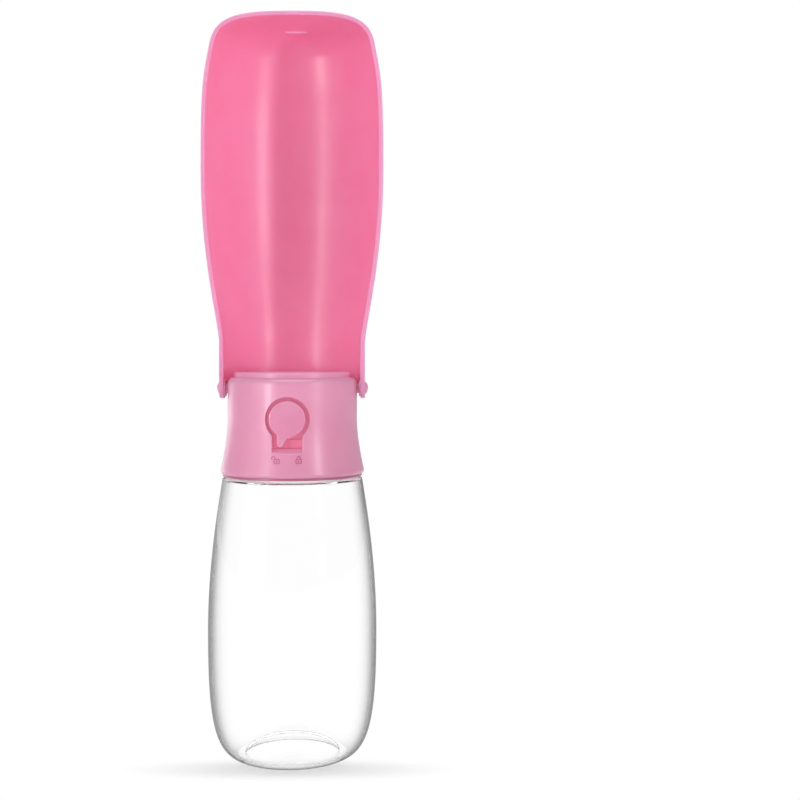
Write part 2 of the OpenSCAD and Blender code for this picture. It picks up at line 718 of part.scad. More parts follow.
// Bush that closes the barrel's front end and guides the stem
module stem_gland() color(white) at_valve() difference() {
    union() {
        rod_y(barrel_r, gland_front, -barrel_front);
        rod_y(bore_r - plug_fit, -barrel_front, gland_plug - barrel_front);
    }
    rod_y(stem_r + run_fit, gland_front - past, 0);
    rod_y(stem_r + gland_groove, -barrel_front - gland_groove_w / 2,
        gland_groove_w / 2 - barrel_front);
}

module gland_o_ring() color(rubber) at_valve() translate([0, -barrel_front, 0])
    rotate([-90, 0, 0])
        torus(stem_r + gland_groove - ring_gap - gland_ring_d / 2, gland_ring_d / 2);

// Stem from the button to the plug
module valve_stem() color(white) at_valve() difference() {
    union() {
        rod_y(stem_front_d / 2, stem_front, stem_step);
        rod_y(stem_r, stem_step, plug_back);
    }
    rod_y(plug_screw_d / 2 + seat_fit, plug_back - plug_screw_len - tip_gap, plug_back + past);
}

module valve_plug() color("#5b5f66") at_valve() difference() {
    union() {
        rod_y(plug_r, plug_at + plug_edge, plug_back);
        translate([0, plug_at, 0]) rotate([-90, 0, 0])
            cylinder(r1 = plug_r - plug_edge, r2 = plug_r, h = plug_edge);
    }
    rod_y(stem_r + seat_fit, 0, plug_back + past);
}

module plug_screw() color(steel) at_valve() difference() {
    union() {
        rod_y(plug_screw_head_d / 2, plug_back, plug_back + plug_screw_head_t);
        rod_y(plug_screw_d / 2, plug_back - plug_screw_len, plug_back);
    }
    block([-plug_screw_head_d, plug_back + plug_screw_head_t - slot_depth, -slot_t / 2],
        [plug_screw_head_d, plug_back + plug_screw_head_t + past, slot_t / 2]);
}

// One unbroken wire, wound as a formula gives it
module return_spring() color(steel) at_valve() {
    sides = 8;
    per_turn = 20;
    rings = spring_turns * per_turn;
    wire_r = spring_wire / 2;
    mid_r = spring_r - wire_r;
    length = spring_back - spring_front - spring_wire;
    pitch = length / spring_turns;
    echo(least_gap = pitch * cos(atan(pitch / (2 * PI * mid_r))) - spring_wire);
    points = [for (i = [0:rings], k = [0:sides - 1])
        let (a = 360 * i / per_turn, b = 360 * k / sides, r = mid_r + wire_r * cos(b))
        [r * cos(a), spring_front + wire_r + length * i / rings + wire_r * sin(b), -r * sin(a)]];
    walls = [for (i = [0:rings - 1], k = [0:sides - 1])
        let (a = i * sides + k, b = i * sides + (k + 1) % sides)
        each [[a, a + sides, b], [b, a + sides, b + sides]]];
    start = [for (k = [1:sides - 2]) [0, k, k + 1]];
    end = [for (k = [1:sides - 2]) [0, k + 1, k] + rings * sides * [1, 1, 1]];
    polyhedron(points, [for (f = concat(walls, start, end)) reversed(f)]);
}

// The button's outline, a disc with a tail, as it stands when unlocked
module button_outline() rotate(-tail_angle) {
    reach = tail_reach - tail_tip_r;
    foot = [tail_tip_r * cos(tail_taper), -reach - tail_tip_r * sin(tail_taper)];
    top = foot + 0.7 * reach * [sin(tail_taper), cos(tail_taper)];
    circle(button_r);
    translate([0, -reach]) circle(tail_tip_r);
    polygon([foot, top, [-top[0], top[1]], [-foot[0], foot[1]]]);
}

module button_cap() color(pink) at_valve() difference() {
    union() {
        pushed(cap_front, cap_back) button_outline();
        rod_y(hub_d / 2, cap_back - bed, hub_back);
        rotate([0, tail_angle, 0]) translate([0, 0, stop_pin_at])
            rod_y(stop_pin_d / 2, cap_back - bed, hub_back);
    }
    rod_y(stem_front_d / 2 + run_fit, stem_front - drop_fit, hub_back + past);
}

// Guide behind the button: floor of the recess, bearing for the hub, stops of the turn
module lock_guide() color(deep_pink) at_valve() {
    difference() {
        intersection() {
            pushed(-head_bore_r, guide_floor + guide_t)
                recess_outline(guide_wall, guide_wall - drop_fit);
            disc(head_bore_r - drop_fit, -lip_r, lip_r);
        }
        pushed(-head_bore_r - past, guide_floor) recess_outline();
        rod_y(hub_d / 2 + run_fit, guide_floor - past, guide_floor + guide_t + past);
        pushed(guide_floor - past, guide_floor + guide_t + past) stop_slot();
    }
    // Ledge under the locked tail, which runs a little way into the round part
    pushed(guide_floor - ledge_h, guide_floor) intersection() {
        recess_outline();
        translate([ledge_x, -slot_drop]) square([slot_w / 2, slot_drop - recess_r + ledge_x]);
    }
}

// Curved slot for the stop pin, about the button's centre
module stop_slot() {
    half = stop_pin_d / 2 + drop_fit;
    far = 2 * (stop_pin_at + half);
    intersection() {
        difference() {
            circle(stop_pin_at + half);
            circle(stop_pin_at - half);
        }
        polygon([[0, 0], far * [-sin(tail_angle), cos(tail_angle)],
            far * [sin(tail_angle), cos(tail_angle)]]);
    }
    for (side = [-1, 1])
        translate(stop_pin_at * [side * sin(tail_angle), cos(tail_angle)]) circle(half);
}

// Pin through an ear into the head, with a domed head outside
module hinge_pin(side) color(pink) translate([side * ear_x, 0, pin_z]) rotate([0, side * 90, 0]) {
    dome_r = (pow(pin_head_d / 2, 2) + pow(pin_dome, 2)) / (2 * pin_dome);
    rim = asin(pin_head_d / 2 / dome_r);
    rotate_extrude() polygon(concat(
        [[0, -pin_len], [pin_r - pin_edge, -pin_len], [pin_r, pin_edge - pin_len],
            [pin_r, drop_fit]],
        arc([0, drop_fit + pin_dome - dome_r], dome_r, 90 - rim, 90, 8)));
}
module left_hinge_pin() hinge_pin(-1);
module right_hinge_pin() hinge_pin(1);

// Half a body of revolution, carried on straight past the axis
module half_round(side_line, front) {
    closed = concat([[0, side_line[0][1]]], side_line);
    rotate_extrude(angle = 180) polygon(closed);
    pushed(-front, 0) polygon(concat(side_line,
        [for (i = [len(side_line) - 2:-1:0]) [-side_line[i][0], side_line[i][1]]]));
}

// The trough, about the hinge's axis
module trough() color(deep_pink) translate([0, 0, pin_z]) difference() {
    union() {
        intersection() {
            difference() {
                half_round(trough_side, rim_past_axis);
                half_round(trough_hollow, rim_past_axis + past);
            }
            union() {
                across(4 * trough_r) polygon(concat(
                    arc([0, 0], ear_r, 180, 360 - asin(back_edge / ear_r), 16),
                    [[2 * trough_r, -back_edge], [2 * trough_r, trough_len + past],
                        [-rim_past_axis, trough_len + past], [-rim_past_axis, 0]]));
                block([-tongue_w / 2, 0, -tongue_reach], [tongue_w / 2, 2 * ear_x, 0]);
            }
        }
        for (side = [-1, 1]) intersection() {
            half_round(trough_side, rim_past_axis);
            rod_x(ear_pad_d / 2, side > 0 ? ear_pad_x : -ear_x, side > 0 ? ear_x : -ear_pad_x);
        }
        // The rib passes just inside the bottle's foot ring when the trough is shut
        intersection() {
            half_round(trough_side, rim_past_axis);
            block([-rib_w / 2, punt_r, lookup(punt_r + rib_t, trough_hollow) - rib_h],
                [rib_w / 2, punt_r + rib_t, trough_len]);
        }
    }
    rod_x(pin_r + run_fit, -2 * ear_x, 2 * ear_x);
    block([-window_w / 2, 0, -window_top - window_h], [window_w / 2, 2 * ear_x, -window_top]);
}

bottle();
neck_seal();
neck_insert();
head_housing();
top_cover();
valve_body();
valve_seat_ring();
valve_end_cap();
end_cap_o_ring();
inlet_seal();
valve_screws();
outlet_tube();
outlet_seal();
stem_gland();
gland_o_ring();
valve_stem();
valve_plug();
plug_screw();
return_spring();
button_cap();
lock_guide();
left_hinge_pin();
right_hinge_pin();
trough();
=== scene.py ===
import math
import bmesh
import bpy
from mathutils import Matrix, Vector


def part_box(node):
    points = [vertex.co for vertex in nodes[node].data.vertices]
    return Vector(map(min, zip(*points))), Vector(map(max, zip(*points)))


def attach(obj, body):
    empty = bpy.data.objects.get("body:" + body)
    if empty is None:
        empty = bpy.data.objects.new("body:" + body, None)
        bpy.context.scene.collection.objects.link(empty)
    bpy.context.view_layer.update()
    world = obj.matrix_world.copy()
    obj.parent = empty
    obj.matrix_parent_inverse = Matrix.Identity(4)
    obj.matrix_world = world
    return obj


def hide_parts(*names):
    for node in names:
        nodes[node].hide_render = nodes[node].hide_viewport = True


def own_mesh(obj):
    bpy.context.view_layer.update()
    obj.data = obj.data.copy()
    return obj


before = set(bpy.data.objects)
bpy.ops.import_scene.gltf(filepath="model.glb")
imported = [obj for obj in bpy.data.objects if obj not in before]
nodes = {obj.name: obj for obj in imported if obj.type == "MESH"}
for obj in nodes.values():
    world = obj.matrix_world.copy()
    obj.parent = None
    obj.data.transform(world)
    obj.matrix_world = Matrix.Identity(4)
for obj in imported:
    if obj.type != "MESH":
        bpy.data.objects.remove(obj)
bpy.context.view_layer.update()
mm = 0.001  # the frame is in metres
print("frame loaded with", len(nodes), "solids")


# node trees, written as expressions
class Wire:  # one output socket, with sums on it
    def __init__(self, tree, socket):
        self.tree = tree
        self.socket = socket

    def __add__(self, other):
        return self.tree.sum("ADD", self, other)

    def __radd__(self, other):
        return self.tree.sum("ADD", other, self)

    def __sub__(self, other):
        return self.tree.sum("SUBTRACT", self, other)

    def __rsub__(self, other):
        return self.tree.sum("SUBTRACT", other, self)

    def __mul__(self, other):
        return self.tree.sum("MULTIPLY", self, other)

    def __rmul__(self, other):
        return self.tree.sum("MULTIPLY", other, self)


class Tree:
    def __init__(self, nodeTree):
        self.nodeTree = nodeTree

    def node(self, kind, settings=None, inputs=None, out=0):
        made = self.nodeTree.nodes.new(kind)
        for key, value in (settings or {}).items():
            setattr(made, key, value)
        for key, value in (inputs or {}).items():
            if isinstance(value, Wire):
                self.nodeTree.links.new(value.socket, made.inputs[key])
            else:
                made.inputs[key].default_value = value
        return Wire(self, made.outputs[out]) if len(made.outputs) else made

    def sum(self, operation, *values):
        return self.node("ShaderNodeMath", {"operation": operation}, dict(enumerate(values)))

    def smooth(self, value, low, high):  # 0 below low, 1 above high, eased between
        return self.node("ShaderNodeMapRange", {"interpolation_type": "SMOOTHSTEP"},
                         {"Value": value, "From Min": low, "From Max": high})

    def rise(self, value, ends):  # the same between two places in mm
        return self.smooth(value, ends[0] * mm, ends[1] * mm)

    def blend(self, amount, first, second):  # of two colours
        return self.node("ShaderNodeMix", {"data_type": "RGBA"},
                         {0: amount, 6: first, 7: second}, out=2)

    def noise(self, place, size, detail, stretch=None):  # size of a feature in metres
        if stretch:
            place = self.node("ShaderNodeMapping", None, {"Vector": place, "Scale": stretch})
        return self.node("ShaderNodeTexNoise", None,
                         {"Vector": place, "Scale": 1 / size, "Detail": detail, "Roughness": 0.55})

    def place(self):  # in the object's own coordinates
        return self.node("ShaderNodeTexCoord", out="Object")

    def parts(self, vector):
        return [self.node("ShaderNodeSeparateXYZ", None, {0: vector}, out=i) for i in range(3)]


def newMaterial(name):
    made = bpy.data.materials.new(name)
    made.use_nodes = True
    made.node_tree.nodes.clear()
    return made, Tree(made.node_tree)


def close(tree, shader):
    tree.node("ShaderNodeOutputMaterial", None, {"Surface": shader})


# the moulded plastics: colour, the deeper one in its clouds, the one painted on their convex edges
# as the light those edges catch, and milkiness
finishes = {
    "pink": {"colour": (0.80, 0.305, 0.475, 1), "deep": (0.785, 0.287, 0.455, 1),
             "edge": (0.88, 0.52, 0.68, 1), "roughness": 0.32, "coat": 0.15, "milk": 0.3,
             "sheen": 0.2},
    "troughPink": {"colour": (0.97, 0.315, 0.51, 1), "deep": (0.96, 0.297, 0.49, 1),
                   "edge": (0.76, 0.34, 0.53, 1), "rib": (0.99, 0.50, 0.74, 1),
                   "roughness": 0.38, "coat": 0.3, "milk": 0.95, "sheen": 0.0},
    # the button guide's own deep pink; it is also painted on the head's recess walls as their
    # shade
    "recessPink": {"colour": (0.88, 0.26, 0.42, 1), "deep": (0.84, 0.23, 0.38, 1),
                   "edge": (0.96, 0.42, 0.62, 1), "roughness": 0.4, "coat": 0.1, "milk": 0.3,
                   "sheen": 0.0, "paintedGlow": (0.50, 0.19, 0.29, 1)},
    "buttonPink": {"colour": (0.76, 0.285, 0.45, 1), "deep": (0.73, 0.25, 0.415, 1),
                   "edge": (0.95, 0.62, 0.78, 1), "roughness": 0.32, "coat": 0.2, "milk": 0.35,
                   "sheen": 0.2},
    "flangePink": {"colour": (0.50, 0.14, 0.24, 1), "deep": (0.45, 0.12, 0.21, 1),
                   "edge": (0.56, 0.19, 0.29, 1), "roughness": 0.4, "coat": 0.1, "milk": 0.2,
                   "sheen": 0.0},
    "markPink": {"colour": (0.58, 0.10, 0.22, 1), "deep": (0.52, 0.08, 0.19, 1),
                 "edge": (0.62, 0.13, 0.26, 1), "roughness": 0.5, "coat": 0.0, "milk": 0.0,
                 "sheen": 0.0},
    "white": {"colour": (0.83, 0.82, 0.80, 1), "deep": (0.76, 0.75, 0.73, 1),
              "edge": (0.90, 0.89, 0.88, 1), "roughness": 0.38, "coat": 0.1, "milk": 0.1,
              "sheen": 0.0},
}
# what all of them share, lengths in metres
mouldLook = {"cloud": 14 * mm, "clouded": (0.35, 0.7), "flow": 5 * mm, "pull": (1, 1, 0.25),
             "grain": 0.55 * mm, "depth": 0.012 * mm, "bump": 0.35, "pointyEdge": (0.515, 0.60),
             "edgeLightTint": 0.55, "cloudEdgeLight": 0.35, "flowRough": 0.10, "grainRough": 0.07,
             "wearRough": 0.06, "ior": 1.5, "coatRough": 0.25, "milkDepth": 5 * mm,
             "milkReach": (1.0, 0.5, 0.62), "sheenRough": 0.35, "sheenTint": (0.95, 0.80, 1.0, 1),
             "paintedGlow": 0.28, "noPaintedGlow": (0, 0, 0, 1)}


def mouldedPlastic(name, look, paintedRimMask=None, hollowShadeMask=None):
    made, tree = newMaterial(name)
    mould, place = mouldLook, tree.place()
    cloud = tree.noise(place, mould["cloud"], 3)
    flow = tree.noise(place, mould["flow"], 2, mould["pull"])  # faint streaks along the pull
    grain = tree.noise(place, mould["grain"], 3)
    # convex edges: painted in the edge colour as the light they catch, and made a little rougher
    litAndWornEdge = tree.smooth(tree.node("ShaderNodeNewGeometry", out="Pointiness"), *mould["pointyEdge"])
    colour = tree.blend(tree.smooth(cloud, *mould["clouded"]), look["colour"], look["deep"])
    edges = litAndWornEdge * (mould["edgeLightTint"] + mould["cloudEdgeLight"] * cloud)
    if paintedRimMask:
        rim, rib = paintedRimMask(tree, place)
        edges = tree.sum("MAXIMUM", edges, rim)
    colour = tree.blend(edges, colour, look["edge"])
    if paintedRimMask:
        # the painted highlight on the snap rib's face
        colour = tree.blend(rib, colour, look["rib"])
    paintedGlow = look.get("paintedGlow", mould["noPaintedGlow"])  # painted light, standing in for light that comes through thin walls and brightens the shaded recess
    # the head's recess walls are painted in the guide's deeper pink as shade, and given its
    # painted light
    if hollowShadeMask:
        hollow, recess = hollowShadeMask(tree, place), finishes["recessPink"]
        colour = tree.blend(hollow, colour, recess["colour"])
        paintedGlow = tree.blend(hollow, paintedGlow, recess["paintedGlow"])
    rough = look["roughness"] + mould["flowRough"] * (flow - 0.5) \
        + mould["grainRough"] * (grain - 0.5) + mould["wearRough"] * litAndWornEdge
    bump = tree.node("ShaderNodeBump", None, {
        "Strength": mould["bump"], "Distance": mould["depth"], "Height": grain + 0.6 * flow})
    close(tree, tree.node("ShaderNodeBsdfPrincipled", None, {
        "Base Color": colour, "Roughness": rough, "IOR": mould["ior"], "Normal": bump,
        "Coat Weight": look["coat"], "Coat Roughness": mould["coatRough"],
        "Emission Color": paintedGlow, "Emission Strength": mould["paintedGlow"],
        "Subsurface Weight": look["milk"], "Subsurface Radius": mould["milkReach"],
        "Subsurface Scale": mould["milkDepth"], "Sheen Weight": look["sheen"],
        "Sheen Roughness": mould["sheenRough"], "Sheen Tint": mould["sheenTint"]}))
    return made


# the trough's flat front edge, and the snap rib inside its far end: where they fade, in mm; both
# are painted, the edge greyer and the rib's face paler, as the light they catch
rimLook = {"front": (3.5, 4.2), "rimTint": 0.85, "ribSide": (4.6, 4.9), "ribFront": (18.9, 19.1),
           "ribBack": (20.9, 21.1), "inside": (290, 295), "shell": (305.0, 305.5), "ribTint": 0.9}


def troughRimLight(tree, place):
    x, y, z = tree.parts(place)
    # painted light on the flat front edge
    rim = rimLook["rimTint"] * tree.rise(0 - y, rimLook["front"])
    # a painted highlight on the snap rib's face, reaching a little past the rib itself
    rib = (1 - tree.rise(tree.sum("ABSOLUTE", x), rimLook["ribSide"])) \
        * tree.rise(y, rimLook["ribFront"]) * (1 - tree.rise(y, rimLook["ribBack"]))
    inside = tree.rise(z, rimLook["inside"]) * (1 - tree.rise(z, rimLook["shell"]))
    return rim, rimLook["ribTint"] * rib * inside


# the walls of the recess round the button and its tail, in mm, measured from the button's centre:
# there the head's pink is painted in the guide's deeper pink as shade, and given the guide's
# painted light
hollowLook = {"centre": 139.9, "disc": (8.83, 9.0), "side": (6.03, 6.15), "foot": (-13.6, -10.8),
              "middle": (0.0, 0.5), "radius": 26.7, "flareFrom": 1.4, "flare": 7.4,
              "sunk": (0.1, 1.8), "back": (-19, -18)}


def buttonHollowShade(tree, place):
    look = hollowLook
    spot = tree.node("ShaderNodeVectorMath", {"operation": "SUBTRACT"},
                     {0: place, 1: (0, 0, look["centre"] * mm)})
    x, y, z = tree.parts(spot)
    disc = 1 - tree.smooth(x * x + z * z, *((r * mm) ** 2 for r in look["disc"]))
    across = 1 - tree.rise(tree.sum("ABSOLUTE", x), look["side"])
    tail = across * tree.rise(z, look["foot"]) * (1 - tree.rise(z, look["middle"]))
    below = tree.sum("MAXIMUM", 0 - z - look["flareFrom"] * mm, 0)
    skin = look["radius"] * mm + look["flare"] * below * below  # the head's wall at this height
    sunk = tree.rise(skin - tree.sum("SQRT", x * x + y * y), look["sunk"])
    return tree.sum("MAXIMUM", disc, tail) * sunk * (1 - tree.rise(y, look["back"]))


# the bottle bends light very little; its dark edges and outlines are painted shade, set by the
# angle of sight
clearLook = {"colour": (1.0, 1.0, 1.0, 1), "edge": (0.12, 0.12, 0.123, 1), "fade": (0.35, 0.90),
             "line": (0.24, 0.24, 0.245, 1), "lineRough": 0.5, "lineGloss": 0.1,
             "side": 0.8, "sideFade": (0.5, 0.95), "arch": 0.7, "archFade": (0.76, 0.90),
             "neck": (115.2, 116), "ior": 1.04, "coat": 0.5, "coatRough": 0.03, "coatIor": 1.5,
             "cloud": 18 * mm, "smudged": (0.5, 0.8), "grain": 1.2 * mm, "rough": 0.01,
             "smudgeRough": 0.02, "grainRough": 0.008, "bump": 0.1, "depth": 0.02 * mm,
             "shadow": (0.97, 0.97, 0.975, 1)}


def clearPlastic(name, look):
    made, tree = newMaterial(name)
    place = tree.place()
    facing = tree.node("ShaderNodeLayerWeight", None, {"Blend": 0.5}, out="Facing")
    outside = tree.node("ShaderNodeAttribute", {"attribute_name": "outside"}, out="Fac")
    dome = tree.node("ShaderNodeAttribute", {"attribute_name": "dome"}, out="Fac")
    height = tree.parts(place)[2]
    drawn = tree.sum("MAXIMUM", outside, tree.rise(height, look["neck"]))
    cloud = tree.noise(place, look["cloud"], 3)
    grain = tree.noise(place, look["grain"], 2)
    # the outer skin painted dark grey towards its edges, as shade
    colour = tree.blend(drawn * tree.smooth(facing, *look["fade"]), look["colour"], look["edge"])
    rough = look["rough"] + look["smudgeRough"] * tree.smooth(cloud, *look["smudged"]) \
        + look["grainRough"] * grain
    bump = tree.node("ShaderNodeBump", None, {
        "Strength": look["bump"], "Distance": look["depth"], "Height": cloud + 0.05 * grain})
    plastic = tree.node("ShaderNodeBsdfPrincipled", None, {
        "Base Color": colour, "Roughness": rough, "IOR": look["ior"],
        "Transmission Weight": 1.0, "Coat Weight": look["coat"],
        "Coat Roughness": look["coatRough"], "Coat IOR": look["coatIor"], "Normal": bump})
    line = tree.node("ShaderNodeBsdfPrincipled", None, {
        "Base Color": look["line"], "Roughness": look["lineRough"],
        "Specular IOR Level": look["lineGloss"]})
    # dark grey outlines painted along the sides and the punt's arch, as shade
    paintedLines = tree.sum("MAXIMUM", look["side"] * drawn * tree.smooth(facing, *look["sideFade"]),
                       look["arch"] * dome * tree.smooth(facing, *look["archFade"]))
    plastic = tree.node("ShaderNodeMixShader", None, {0: paintedLines, 1: plastic, 2: line})
    shadow = tree.node("ShaderNodeLightPath", out="Is Shadow Ray")
    through = tree.node("ShaderNodeBsdfTransparent", None, {"Color": look["shadow"]})
    close(tree, tree.node("ShaderNodeMixShader", None, {0: shadow, 1: plastic, 2: through}))
    return made


rubberLook = {"speck": 0.35 * mm, "cloud": 6 * mm, "dark": 0.82, "rough": 0.55, "uneven": 0.2,
              "bump": 0.5, "depth": 0.02 * mm}


def rubber(name, colour, look):
    made, tree = newMaterial(name)
    place = tree.place()
    speck = tree.noise(place, look["speck"], 4)
    cloud = tree.noise(place, look["cloud"], 2)
    dark = tuple(look["dark"] * c for c in colour[:3]) + (1,)
    bump = tree.node("ShaderNodeBump", None, {
        "Strength": look["bump"], "Distance": look["depth"], "Height": speck})
    close(tree, tree.node("ShaderNodeBsdfPrincipled", None, {
        "Base Color": tree.blend(cloud, colour, dark),
        "Roughness": look["rough"] + look["uneven"] * speck, "Normal": bump}))
    return made


steelLook = {"colour": (0.62, 0.62, 0.64, 1), "deep": (0.50, 0.50, 0.52, 1), "cloud": 3 * mm,
             "brush": 0.25 * mm, "brushed": (1, 1, 6), "rough": 0.22, "uneven": 0.18,
             "bump": 0.3, "depth": 0.01 * mm}


def turnedSteel(name, look):
    made, tree = newMaterial(name)
    place = tree.place()
    brush = tree.noise(place, look["brush"], 3, look["brushed"])
    cloud = tree.noise(place, look["cloud"], 2)
    bump = tree.node("ShaderNodeBump", None, {
        "Strength": look["bump"], "Distance": look["depth"], "Height": brush})
    close(tree, tree.node("ShaderNodeBsdfPrincipled", None, {
        "Base Color": tree.blend(cloud, look["colour"], look["deep"]),
        "Metallic": 1.0, "Roughness": look["rough"] + look["uneven"] * brush, "Normal": bump}))
    return made


pinkPlastic = mouldedPlastic("pinkPlastic", finishes["pink"], None, buttonHollowShade)
buttonPlastic = mouldedPlastic("buttonPlastic", finishes["buttonPink"])
troughPlastic = mouldedPlastic("troughPlastic", finishes["troughPink"], troughRimLight)
recessPlastic = mouldedPlastic("recessPlastic", finishes["recessPink"])
flangePlastic = mouldedPlastic("flangePlastic", finishes["flangePink"])
markPlastic = mouldedPlastic("markPlastic", finishes["markPink"])
whitePlastic = mouldedPlastic("whitePlastic", finishes["white"])
bottlePlastic = clearPlastic("bottlePlastic", clearLook)
whiteRubber = rubber("whiteRubber", (0.80, 0.79, 0.77, 1), rubberLook)
darkRubber = rubber("darkRubber", (0.10, 0.11, 0.13, 1), rubberLook)
steel = turnedSteel("steel", steelLook)
print("finishes made")


# geometry trees
def newGeometryTree(name, inputs):
    group = bpy.data.node_groups.new(name, "GeometryNodeTree")
    face = group.interface
    face.new_socket("Geometry", in_out="INPUT", socket_type="NodeSocketGeometry")
    for label, kind, value in inputs:
        socket = face.new_socket(label, in_out="INPUT", socket_type="NodeSocket" + kind)
        if value is not None:
            socket.default_value = value
    face.new_socket("Geometry", in_out="OUTPUT", socket_type="NodeSocketGeometry")
    tree = Tree(group)
    given = group.nodes.new("NodeGroupInput")
    return tree, {s.name: Wire(tree, s) for s in given.outputs if s.name}


def endTree(tree, geometry, material, smooth=True):
    if smooth:
        geometry = tree.node("GeometryNodeSetShadeSmooth", None, {"Geometry": geometry})
    real = tree.node("GeometryNodeRealizeInstances", None, {"Geometry": geometry})
    done = tree.node("GeometryNodeSetMaterial", None, {"Geometry": real, "Material": material})
    tree.node("NodeGroupOutput", None, {0: done})
    return tree.nodeTree


# turns an outline, drawn as edges in x and z, round the z axis
def latheTree():
    tree, given = newGeometryTree("lathe", [
        ("Segments", "Int", 96), ("Seam", "Float", 1 * mm), ("Material", "Material", None)])
    outline = tree.node("GeometryNodeMeshToCurve", None, {0: given["Geometry"]})
    shift = tree.node("ShaderNodeCombineXYZ", None, {"X": 0 - given["Seam"]})
    outline = tree.node("GeometryNodeTransform", None, {
        "Geometry": outline, "Translation": shift, "Rotation": (math.pi / 2, 0, 0)})
    circle = tree.node("GeometryNodeCurvePrimitiveCircle", None, {
        "Resolution": given["Segments"], "Radius": given["Seam"]})
    body = tree.node("GeometryNodeCurveToMesh", None, {
        "Curve": circle, "Profile Curve": outline})
    body = tree.node("GeometryNodeMergeByDistance", None, {
        "Geometry": body, "Distance": 0.002 * mm})
    return endTree(tree, body, given["Material"])


# runs a round bead along a path drawn as edges
def beadTree():
    tree, given = newGeometryTree("bead", [
        ("Radius", "Float", 0.1 * mm), ("Sides", "Int", 8), ("Material", "Material", None)])
    path = tree.node("GeometryNodeMeshToCurve", None, {0: given["Geometry"]})
    section = tree.node("GeometryNodeCurvePrimitiveCircle", None, {
        "Resolution": given["Sides"], "Radius": given["Radius"]})
    body = tree.node("GeometryNodeCurveToMesh", None, {
        "Curve": path, "Profile Curve": section, "Fill Caps": True})
    return endTree(tree, body, given["Material"])


# runs a ridge with a flat crest along a path drawn as edges
def ridgeTree():
    tree, given = newGeometryTree("ridge", [
        ("Foot", "Float", 1.15 * mm), ("Crest", "Float", 0.6 * mm), ("Height", "Float", 1.6 * mm),
        ("Material", "Material", None)])
    path = tree.node("GeometryNodeMeshToCurve", None, {0: given["Geometry"]})
    path = tree.node("GeometryNodeSetCurveNormal", {"mode": "Z_UP"}, {"Curve": path})
    section = tree.node("GeometryNodeCurvePrimitiveQuadrilateral", {"mode": "TRAPEZOID"}, {
        "Height": given["Height"], "Bottom Width": given["Foot"], "Top Width": given["Crest"],
        "Offset": 0.0})
    section = tree.node("GeometryNodeTransform", None, {
        "Geometry": section, "Rotation": (0, 0, -math.pi / 2)})
    body = tree.node("GeometryNodeCurveToMesh", None, {
        "Curve": path, "Profile Curve": section, "Fill Caps": True})
    return endTree(tree, body, given["Material"], smooth=False)


lathe, bead, ridge = latheTree(), beadTree(), ridgeTree()


def newObject(name, mesh):
    made = bpy.data.objects.new(name, mesh)
    bpy.context.scene.collection.objects.link(made)
    return made


def applied(thing):  # its evaluated shape as a plain mesh, with no modifier left
    bpy.context.view_layer.update()
    shape = bpy.data.meshes.new_from_object(
        thing.evaluated_get(bpy.context.evaluated_depsgraph_get()))
    shape.name = thing.name
    thing.modifiers.clear()
    thing.data = shape
    return thing


def grown(name, group, points, edges, values, marks=None):  # a drawn line, made solid
    drawn = bpy.data.meshes.new(name)
    drawn.from_pydata(points, edges, [])
    for label, numbers in (marks or {}).items():  # values along the drawn line
        drawn.attributes.new(label, "FLOAT", "POINT").data.foreach_set("value", numbers)
    thing = newObject(name, drawn)
    modifier = thing.modifiers.new("grow", "NODES")
    modifier.node_group = group
    for item in group.interface.items_tree:
        if item.item_type == "SOCKET" and item.in_out == "INPUT" and item.name in values:
            modifier[item.identifier] = values[item.name]
    return applied(thing)


def softened(thing, sharp):  # shaded smooth, but for edges beyond an angle in degrees
    thing.data.shade_smooth()
    thing.data.set_sharp_from_angle(angle=math.radians(sharp))
    return thing


def outward(thing, sharp):  # merged, facing outwards and softened
    mesh = bmesh.new()
    mesh.from_mesh(thing.data)
    bmesh.ops.remove_doubles(mesh, verts=mesh.verts, dist=0.001 * mm)
    bmesh.ops.recalc_face_normals(mesh, faces=mesh.faces)
    mesh.to_mesh(thing.data)
    mesh.free()
    return softened(thing, sharp)


def evened(thing, sharp):  # its large faces look flat beside rounded edges
    softened(thing, sharp)
    even = thing.modifiers.new("even", "WEIGHTED_NORMAL")
    even.keep_sharp = True
    return applied(thing)


def chain(count, start=0):  # edges of an open line
    return [(start + i, start + i + 1) for i in range(count - 1)]


def curve(a, b, c, d, steps, skip=0):  # from a to d, drawn towards b and c
    line = []
    for i in range(skip, steps + 1):
        t = i / steps
        w = ((1 - t) ** 3, 3 * t * (1 - t) ** 2, 3 * t * t * (1 - t), t ** 3)
        line.append(tuple(sum(k * p[j] for k, p in zip(w, (a, b, c, d))) for j in (0, 1)))
    return line


def arc(centre, radius, first, last, steps, skip=0):  # angles in radians, anticlockwise
    angles = (first + (last - first) * i / steps for i in range(skip, steps + 1))
    return [(centre[0] + radius * math.cos(a), centre[1] + radius * math.sin(a)) for a in angles]


def inset(line, depth, closed=False):  # moves an outline to its left, which is inwards
    moved, end = [], len(line) - 1
    for i, (x, z) in enumerate(line):
        (ax, az), (bx, bz) = (line[i - 1 if closed else max(i - 1, 0)],
                              line[(i + 1) % len(line) if closed else min(i + 1, end)])
        size = math.hypot(bx - ax, bz - az)
        moved.append((x - depth * (bz - az) / size, z + depth * (bx - ax) / size))
    return moved


def rounded(corner, before, after, radius, steps=4):  # a small arc in place of a corner
    c, a, b = Vector(corner), Vector(before), Vector(after)
    u, v = (a - c).normalized(), (b - c).normalized()
    start, end = c + u * radius, c + v * radius
    return [tuple((1 - t) ** 2 * start + 2 * t * (1 - t) * c + t * t * end)
            for t in (i / steps for i in range(steps + 1))]


